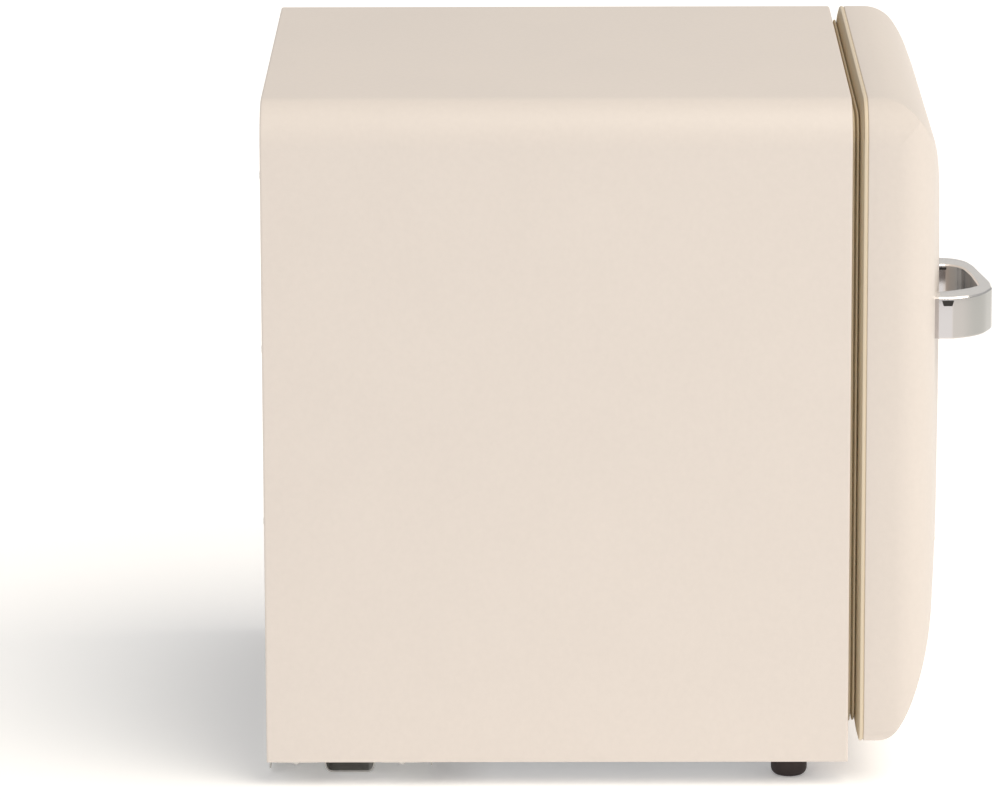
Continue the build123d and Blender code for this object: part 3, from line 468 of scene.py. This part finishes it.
# Gasket. Soft beige extrusion with a ribbed bellows: a foot clipped into the rim, a bead and a flat head
# that holds the magnet strip against the cabinet.
gasket_low, gasket_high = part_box("door_gasket")
gasket_face = gasket_high.y
gasket_radius = 0.020
gasket_section = [
    (0.5, 0), (0.12, 0.2), (0, 0.6), (0.1, 1.2), (0.6, 1.5), (4.2, 1.7), (5.0, 2.2), (4.2, 2.7),
    (1.2, 2.9), (0.7, 3.2), (0.55, 3.7), (0.7, 4.2), (1.2, 4.5), (4.2, 4.6), (5.0, 5.0), (4.2, 5.4),
    (0.6, 5.4), (-3.5, 6.0), (-7.0, 6.9), (-9.2, 7.65), (19, 7.65), (19, 6.3), (16, 5.9), (16, 3.2),
    (19.4, 2.7), (20, 2.2), (20, 0.5), (19.5, 0),
]


def gasket_ring(inset, depth):
    half, low, high = gasket_high.x - inset, gasket_low.z + inset, gasket_high.z - inset
    radius = max(gasket_radius - inset, 0.003)
    ring = []
    for sx, sz, start in ((-1, -1, pi), (1, -1, 1.5 * pi), (1, 1, 0), (-1, 1, pi / 2)):
        bend = min(radius, lower_corner - 0.001) if sz < 0 and inset < 0 else radius
        cz = (low + bend) if sz < 0 else (high - bend)
        for step in range(13):
            angle = start + pi / 2 * step / 12
            ring.append(Vector((
                sx * (half - bend) + bend * cos(angle), gasket_face - depth, cz + bend * sin(angle)
            )))
    return ring


gasket_vinyl = Finish("gasket_vinyl", (0.60, 0.49, 0.34), Roughness=0.55, Subsurface_Weight=0.08)
gasket_vinyl.bump(gasket_vinyl.noise(0.0012, 2), 0.00004, 0.3)
gasket = make_piece(
    "gasket", "door", "gasket", gasket_vinyl,
    *skin([gasket_ring(inset / 1000, depth / 1000) for inset, depth in gasket_section], stack_loop=True),
    stands_for=["door_gasket", "gasket_magnet"],
)
cut(gasket, hinge_axis, 0.025, *arm_slot)

# Handle. A die-cast loop, chrome-plated: a broad flat leg at the free edge of the door, a bar that runs
# inwards and tapers, and a second leg. Each leg has a flat black inlay at its root, a painted dark
# reflection of a recess there. The chrome's colour carries painted highlights and painted reflections.
handle_low, handle_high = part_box("handle")
handle_left = handle_low.x
handle_half = (handle_high.z - handle_low.z) / 2
handle_mid = (handle_high.z + handle_low.z) / 2


def rounded_run(corners, count):
    """Points along a run of straight lines with rounded corners, evenly spread between the corners.
    Each corner is (x, y, radius); count points stand for each stretch between two corners."""
    places = [Vector(c[:2]) for c in corners]
    run = [places[0]]
    for index in range(1, len(places) - 1):
        here, radius = places[index], corners[index][2]
        back, ahead = places[index - 1] - here, places[index + 1] - here
        reach = min(radius * tan((pi - back.angle(ahead)) / 2), back.length * 0.48, ahead.length * 0.48)
        start, end = here + back.normalized() * reach, here + ahead.normalized() * reach
        run.append(start)
        for step in range(1, count):
            t = step / count
            run.append(start.lerp(here, t).lerp(here.lerp(end, t), t))
        run.append(end)
    run.append(places[-1])
    return run


outer_corners = [
    (2, 55, 0), (0, 64, 2), (0, 74, 1.5), (5.5, 86.5, 60), (15.5, 96.8, 40), (34, 104, 25), (54, 104, 60),
    (84, 99.5, 100), (111, 95.5, 80), (128, 90.5, 25), (137.5, 82, 14), (139.97, 70, 20), (139.97, 63, 0),
]
inner_corners = [
    (17.5, 55, 0), (20.5, 64, 4), (25, 74, 30), (28, 79, 30), (33, 86, 30), (42, 94.2, 2), (55, 93.4, 30),
    (82, 91, 60), (103, 87.3, 20), (111, 82.5, 10), (115, 77, 8), (115, 70, 5), (115, 63, 0),
]
outer_run = rounded_run(outer_corners, 6)
inner_run = rounded_run(inner_corners, 6)
bevel, soft = 0.0012, 0.0004
corner_path = [(0, bevel + soft), (0.00008, bevel), (bevel, 0.00008), (bevel + soft, 0)]
handle_rings = []
for out, inn in zip(outer_run, inner_run):
    out = Vector((handle_left + out.x / 1000, wrapper_low.y - out.y / 1000, 0))
    inn = Vector((handle_left + inn.x / 1000, wrapper_low.y - inn.y / 1000, 0))
    across = inn - out
    width = across.length
    across.normalize()
    ring = []
    for far, up, back in ((False, -1, True), (True, -1, False), (True, 1, True), (False, 1, False)):
        for side, drop in (corner_path[::-1] if back else corner_path)[::-1]:
            place = out + across * (width - side if far else side)
            ring.append(place + Vector((0, 0, handle_mid + up * (handle_half - drop))))
    handle_rings.append(ring)
chrome = Finish("chrome", (0.80, 0.775, 0.76), Metallic=1.0)
chrome.set(Roughness=0.13 + 0.06 * chrome.noise(0.02, 2))
# The chrome's colour is set by which way each face looks. The upper faces carry a painted highlight and are
# made partly non-metallic. The sides carry a painted reflection, and the faces looking away from the door
# are painted darker as shade. The faces towards the door carry a bluish painted reflection, and the legs
# near their roots a painted highlight.
normal = chrome.node("ShaderNodeTexCoord", {}, {}, "Normal")
rear, up = [chrome.node("ShaderNodeSeparateXYZ", {}, {"Vector": normal}, axis) for axis in "YZ"]
painted_top_highlight, painted_root_highlight, painted_side_reflection, painted_outer_shade, painted_inner_reflection = [
    (*tone, 1) for tone in (
        (0.97, 0.95, 0.93), (0.60, 0.585, 0.60), (0.56, 0.53, 0.52), (0.42, 0.42, 0.41), (0.48, 0.52, 0.56)
    )
]
depth = chrome.node("ShaderNodeSeparateXYZ", {}, {"Vector": chrome.place}, "Y")
leg_root = wrapper_low.y - 0.0745
painted_reflection_tone = chrome.mix((-1 * rear).between(0.15, 0.75), painted_side_reflection, painted_outer_shade)
painted_reflection_tone = chrome.mix((depth - leg_root).between(0, 0.002), painted_reflection_tone, painted_root_highlight)
painted_reflection_tone = chrome.mix(rear.between(0.25, 0.9), painted_reflection_tone, painted_inner_reflection)
chrome.set(**{"Base Color": chrome.mix(up.between(0.4, 0.9), painted_reflection_tone, painted_top_highlight)})
chrome.set(Metallic=1 - 0.22 * up.between(0.7, 0.95))
chrome.bump(chrome.noise(0.006, 1), 0.00003, 0.25)
make_piece(
    "handle_loop", "door", "chrome", chrome, *skin(handle_rings), stands_for=["handle"], crease=24,
)


def dark_reflection_inlay(name, u, from_v, to_v, drop, height, slope):
    """Flat black inlay, wider at its top, in a leg of the handle: a painted dark reflection of a recess."""
    top = handle_high.z - drop
    corners = [(from_v, top), (to_v, top), (to_v - slope, top - height), (from_v + slope, top - height)]
    rings = [
        [Vector((handle_left + (u + side) / 1000, wrapper_low.y - v / 1000, z)) for v, z in corners]
        for side in (-0.25, 0.4)
    ]
    make_piece(name, "door", "black_plastic", painted_reflection_black, *skin(rings))


# A near-black sheet on each leg, where the chrome shows only a dark reflection: painted reflection.
painted_reflection_black = Finish("painted_reflection_black", (0.012, 0.010, 0.009), Roughness=0.4)
painted_reflection_black.bump(painted_reflection_black.noise(0.001, 1), 0.00002, 0.2)
dark_reflection_inlay("near_leg_dark_reflection", 0, 66.0, 74.6, 0.0023, 0.0040, 1.2)
dark_reflection_inlay("far_leg_dark_reflection", 115, 68, 76, 0.0023, 0.0018, 0.6)

# Front feet. Black rubber pads moulded on a steel stud that screws into the cabinet's inserts.
foot_rubber = Finish("foot_rubber", (0.030, 0.019, 0.018), Roughness=0.6)
foot_rubber.set(Roughness=0.55 + 0.2 * foot_rubber.noise(0.004, 3))
foot_rubber.bump(foot_rubber.noise(0.0008, 2), 0.00005, 0.5)
foot_profile = [
    (0, 0.6), (5.5, 0.6), (6, 0), (8.6, 0), (10.2, 0.5), (11.5, 1.5), (12.4, 2.9), (12.9, 4.6), (13, 6.4),
    (13, 16.4), (12.7, 17.2), (11.9, 17.7), (4.4, 17.7), (3, 17.7), (3, 43), (0, 43),
]


def turned(profile, centre, sides=64):
    """Points and faces of a body turned about an upright axis."""
    rings = [
        [Vector((
            centre[0] + r / 1000 * cos(2 * pi * i / sides),
            centre[1] + r / 1000 * sin(2 * pi * i / sides),
            centre[2] + z / 1000,
        )) for i in range(sides)]
        for r, z in profile
    ]
    return skin(rings, capped=False)


for name in ("front_left_foot", "front_right_foot"):
    low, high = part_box(name)
    centre = ((low.x + high.x) / 2, (low.y + high.y) / 2, low.z)
    make_piece(
        name.replace("_foot", "_pad"), name, "rubber", foot_rubber, *turned(foot_profile, centre),
        stands_for=[name],
    )

# Steelwork underneath and behind. The compressor base plate is one folded, zinc-plated sheet with four screw
# tabs; the panels are galvanised sheet with a faint spangle.
zinc = Finish("zinc_plate", (0.60, 0.59, 0.56), Metallic=0.85, Roughness=0.38)
zinc.set(Roughness=0.32 + 0.16 * zinc.noise(0.01, 3))
zinc.bump(zinc.noise(0.002, 2), 0.00003, 0.3)
dress(zinc, "compressor_mount")

plate_low, plate_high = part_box("compressor_base_plate")
plate_half = 0.182
plate_sheet = 0.0012
tab_rows, tab_reach = (0.163, 0.239), 0.014
plate_front, plate_rear, plate_top = plate_low.y * 1000, plate_high.y * 1000, plate_high.z * 1000 - 0.6
sheet_line = rounded_run([
    (plate_front + 0.6, 5, 0), (plate_front + 0.6, plate_top, 3), (plate_front + 39.5, plate_top, 5),
    (plate_front + 43.2, 0.6, 5), (plate_front + 75.8, 0.6, 5), (plate_front + 79.5, plate_top, 5),
    (plate_rear - 0.6, plate_top, 3), (plate_rear - 0.6, 3, 0),
], 5)


def sheet(line, thickness, near, far):
    """A folded sheet whose profile runs along line, millimetres rearwards and up, between two x."""
    upper, lower = [], []
    for index, place in enumerate(line):
        along = (line[min(index + 1, len(line) - 1)] - line[max(index - 1, 0)]).normalized()
        normal = Vector((-along.y, along.x)) * thickness / 2
        upper.append(place + normal)
        lower.append(place - normal)
    loop = upper + lower[::-1]
    count, total = len(line), 2 * len(line)
    points = [Vector((x, y / 1000, z / 1000)) for x in (near, far) for y, z in loop]
    faces = [(i, (i + 1) % total, total + (i + 1) % total, total + i) for i in range(total)]
    for end in (0, total):
        faces += [(end + i, end + i + 1, end + total - 2 - i, end + total - 1 - i) for i in range(count - 1)]
    return points, faces


def slab(low, high, edge=0.0003):
    """Flat plate with its upright and upper edges broken."""
    rings = []
    for z, inset in ((low.z, 0), (high.z - edge, 0), (high.z, edge)):
        rings.append([Vector(p) for p in (
            (low.x + inset, low.y + inset, z), (high.x - inset, low.y + inset, z),
            (high.x - inset, high.y - inset, z), (low.x + inset, high.y - inset, z))])
    return skin(rings)


tabs = []
for side in (-1, 1):
    for row in tab_rows:
        ends = sorted((side * plate_half, side * (cabinet_half - 0.004)))
        tabs.append(slab(Vector((ends[0], row - tab_reach, plate_high.z - plate_sheet)),
                         Vector((ends[1], row + tab_reach, plate_high.z)), 0.0002))
make_piece(
    "base_plate", "cabinet", "zinc", zinc, *joined(sheet(sheet_line, 1.2, -plate_half, plate_half), *tabs),
    stands_for=["compressor_base_plate"], crease=40,
)

galvanised = Finish("galvanised", (0.56, 0.57, 0.57), Metallic=0.8, Roughness=0.45)
spangle = galvanised.node("ShaderNodeTexVoronoi", {}, {"Vector": galvanised.place, "Scale": 70})
galvanised.set(Roughness=0.36 + 0.22 * spangle)
galvanised.set(**{"Base Color": galvanised.mix(spangle, (0.50, 0.51, 0.52, 1), (0.64, 0.65, 0.66, 1))})
galvanised.bump(galvanised.noise(0.001, 1), 0.00002, 0.3)
dress(galvanised, "rear_panel", "bottom_panel", "machine_compartment_panel")

plated = Finish("plated_steel", (0.62, 0.61, 0.59), Metallic=1.0, Roughness=0.3)
plated.bump(plated.noise(0.0007, 2), 0.00003, 0.3)


def cross_head(centre, outward, radius, height, sides=56, layers=16):
    """Low domed screw head with a cross recess, standing on centre and facing outward."""
    turn = Vector((0, 0, 1)).rotation_difference(Vector(outward)).to_matrix()
    rings = []
    slot, arm, deep = radius * 0.15, radius * 0.62, height * 0.75
    arm_slope = 0.00032
    for layer in range(1, layers + 1):
        r = radius * layer / layers
        ring = []
        for i in range(sides):
            x, y = r * cos(2 * pi * i / sides), r * sin(2 * pi * i / sides)
            dome = height * (1 - (layer / layers) ** 3.2)
            narrow, long = min(abs(x), abs(y)), max(abs(x), abs(y))
            across = max(0, min(1, (slot - narrow) / (0.35 * slot) + 0.5))
            along = max(0, min(1, (arm - long) / arm_slope))
            inside = across * along
            ring.append(Vector(centre) + turn @ Vector((x, y, dome - deep * inside)))
        rings.append(ring)
    points, faces = skin(rings, capped=False)
    points.append(Vector(centre) + turn @ Vector((0, 0, height - deep)))
    top = len(points) - 1
    faces += [(i, (i + 1) % sides, top) for i in range(sides)]
    base = len(points) - 1 - sides
    points += [p - turn @ Vector((0, 0, 0.0004)) for p in points[base:base + sides]]
    skirt = len(points) - sides
    faces += [(base + i, base + (i + 1) % sides, skirt + (i + 1) % sides, skirt + i) for i in range(sides)]
    faces.append(tuple(range(skirt, skirt + sides)))
    return points, faces


panel_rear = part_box("rear_panel_screws")[1].y
panel_spots = [(x, panel_rear, z) for x in (-0.2135, 0.2135) for z in (0.195, 0.320, 0.445)]
panel_spots += [(-0.09, panel_rear, 0.4895), (0.09, panel_rear, 0.4895)]
make_piece(
    "rear_panel_screw_heads", "cabinet", "steel", plated,
    *joined(*[cross_head(spot, (0, 1, 0), 0.0036, 0.0006) for spot in panel_spots]),
)
tab_screw = 0.212
tab_spots = [(side * tab_screw, row, plate_high.z - plate_sheet) for side in (-1, 1) for row in tab_rows]
make_piece(
    "base_plate_screw_heads", "cabinet", "steel", plated,
    *joined(*[cross_head(spot, (0, 0, -1), 0.0036, 0.0024) for spot in tab_spots]),
    stands_for=["base_plate_screws"],
)
dress(
    plated, "handle_screws", "hinge_screws", "upper_hinge_bracket", "upper_hinge_pin", "lower_hinge_bracket",
    "lower_hinge_pin", "rear_panel_screws", "compressor_bolts", "foot_inserts",
)

# Machine compartment. A black enamelled compressor on rubber grommets, with its relay cover and copper
# pipework; the foam fills the cabinet and the door behind their linings.
compressor_enamel = Finish("compressor_enamel", (0.012, 0.012, 0.013), Roughness=0.32, Coat_Weight=0.3)
compressor_enamel.bump(compressor_enamel.noise(0.0025, 2), 0.00008, 0.4)
dress(compressor_enamel, "compressor_lower_shell", "compressor_upper_shell")
black_plastic = Finish("black_plastic", (0.02, 0.02, 0.021), Roughness=0.5)
black_plastic.bump(black_plastic.noise(0.0006, 1), 0.00003, 0.3)
dress(black_plastic, "relay_cover", "cord_gland", "thermostat_body")
dress(foot_rubber, "compressor_grommets")
copper = Finish("copper", (0.72, 0.38, 0.24), Metallic=1.0, Roughness=0.3)
tarnish = copper.noise(0.014, 4)
fresh, tarnished = (0.74, 0.42, 0.27, 1), (0.42, 0.22, 0.14, 1)
copper.set(**{"Base Color": copper.mix(tarnish.between(0.35, 0.75), fresh, tarnished)})
copper.set(Roughness=0.22 + 0.3 * tarnish)
dress(
    copper, "condenser_tube", "suction_line", "discharge_line", "process_tube", "filter_drier",
    "capillary_tube", "sensing_tube",
)
foam = Finish("foam", (0.72, 0.62, 0.34), Roughness=0.95)
foam.bump(foam.noise(0.0015, 3), 0.0003, 0.7)
dress(foam, "insulation_foam", "door_foam")

# Room. A thermoformed liner in glossy white polystyrene, with white moulded fittings and a thermostat knob
# whose housing carries a printed scale.
liner_white = Finish("liner_white", (0.86, 0.86, 0.84), Roughness=0.28)
liner_white.bump(liner_white.noise(0.02, 2), 0.0002, 0.25)
dress(liner_white, "inner_liner", "door_liner")
white_plastic = Finish("white_plastic", (0.84, 0.85, 0.84), Roughness=0.4)
white_plastic.bump(white_plastic.noise(0.0008, 1), 0.00003, 0.3)
dress(
    white_plastic, "ice_box_frame", "ice_box_flap", "evaporator_mounts", "tray_rails", "thermostat_housing",
    "thermostat_knob", "shelf_front_trim", "shelf_rear_trim", "upper_hinge_socket", "lower_hinge_socket",
)
knob_low, knob_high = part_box("thermostat_knob")
housing_low, housing_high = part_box("thermostat_housing")
knob_y, knob_z = (knob_low.y + knob_high.y) / 2, (knob_low.z + knob_high.z) / 2
scale_ink = Finish("scale_ink", (0.10, 0.12, 0.16), Roughness=0.5)
scale_ink.set(Roughness=0.42 + 0.15 * scale_ink.noise(0.003, 2))


def scale_mark(degrees_round, inner, outer, width, face, proud=0.00025):
    """A raised tick on a face that looks towards -X, at an angle round the knob."""
    turn = radians(degrees_round)
    out, side = Vector((0, sin(turn), cos(turn))), Vector((0, cos(turn), -sin(turn)))
    centre = Vector((face, knob_y, knob_z))
    rings = []
    for depth in (-proud, proud):
        rings.append([centre + Vector((depth, 0, 0)) + out * along + side * across for along, across in (
            (inner, -width / 2), (outer, -width / 2), (outer, width / 2), (inner, width / 2))])
    return skin(rings)


make_piece(
    "thermostat_scale", "cabinet", "black_plastic", scale_ink,
    *joined(*[scale_mark(angle, 0.0178, 0.0208 + 0.0008 * (step % 2 == 0), 0.0008, housing_low.x)
              for step, angle in enumerate(range(-135, 136, 30))]),
)
make_piece(
    "knob_pointer", "thermostat_knob", "black_plastic", scale_ink,
    *scale_mark(0, 0.004, 0.0138, 0.0011, knob_low.x),
)

# Evaporator, tray, bins and shelf. Roll-bonded aluminium, clear moulded plastic with beaded rims, and a
# toughened glass plate.
aluminium = Finish("roll_bond", (0.78, 0.79, 0.80), Metallic=1.0, Roughness=0.36)
aluminium.bump(aluminium.noise(0.004, 2, (1, 0.2, 1)), 0.00005, 0.4)
dress(aluminium, "evaporator")
clear_plastic = Finish("clear_plastic", (0.80, 0.88, 0.90), Roughness=0.12, Alpha=0.45)
clear_plastic.bump(clear_plastic.noise(0.03, 2), 0.0001, 0.3)
dress(clear_plastic, "drip_tray", "upper_bin", "lower_bin")


def rim_bead(low, high, corner, thick, steps=10, round_steps=12):
    """Round bead along the upper edge of an open box."""
    path = []
    for sx, sy, start in ((-1, -1, pi), (1, -1, 1.5 * pi), (1, 1, 0), (-1, 1, pi / 2)):
        cx = (high.x - corner) if sx > 0 else (low.x + corner)
        cy = (high.y - corner) if sy > 0 else (low.y + corner)
        for step in range(steps + 1):
            angle = start + pi / 2 * step / steps
            path.append((Vector((cx + corner * cos(angle), cy + corner * sin(angle), high.z)),
                         Vector((cos(angle), sin(angle), 0))))
    rings = [
        [place + out * thick * cos(turn) + Vector((0, 0, thick * sin(turn)))
         for turn in [2 * pi * i / round_steps for i in range(round_steps)]]
        for place, out in path
    ]
    return skin(rings, stack_loop=True)


for name in ("upper_bin", "lower_bin"):
    low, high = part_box(name)
    wall = Vector((0.0012, 0.0012, 0))
    inner_low, inner_high = low + wall, high - wall
    make_piece(
        name + "_rim", name, "clear_plastic", clear_plastic,
        *rim_bead(inner_low, inner_high, 0.0068, 0.0018),
    )

shelf_glass = Finish("shelf_glass", (0.70, 0.84, 0.80), Roughness=0.05, Alpha=0.35)
dress(shelf_glass, "glass_shelf")
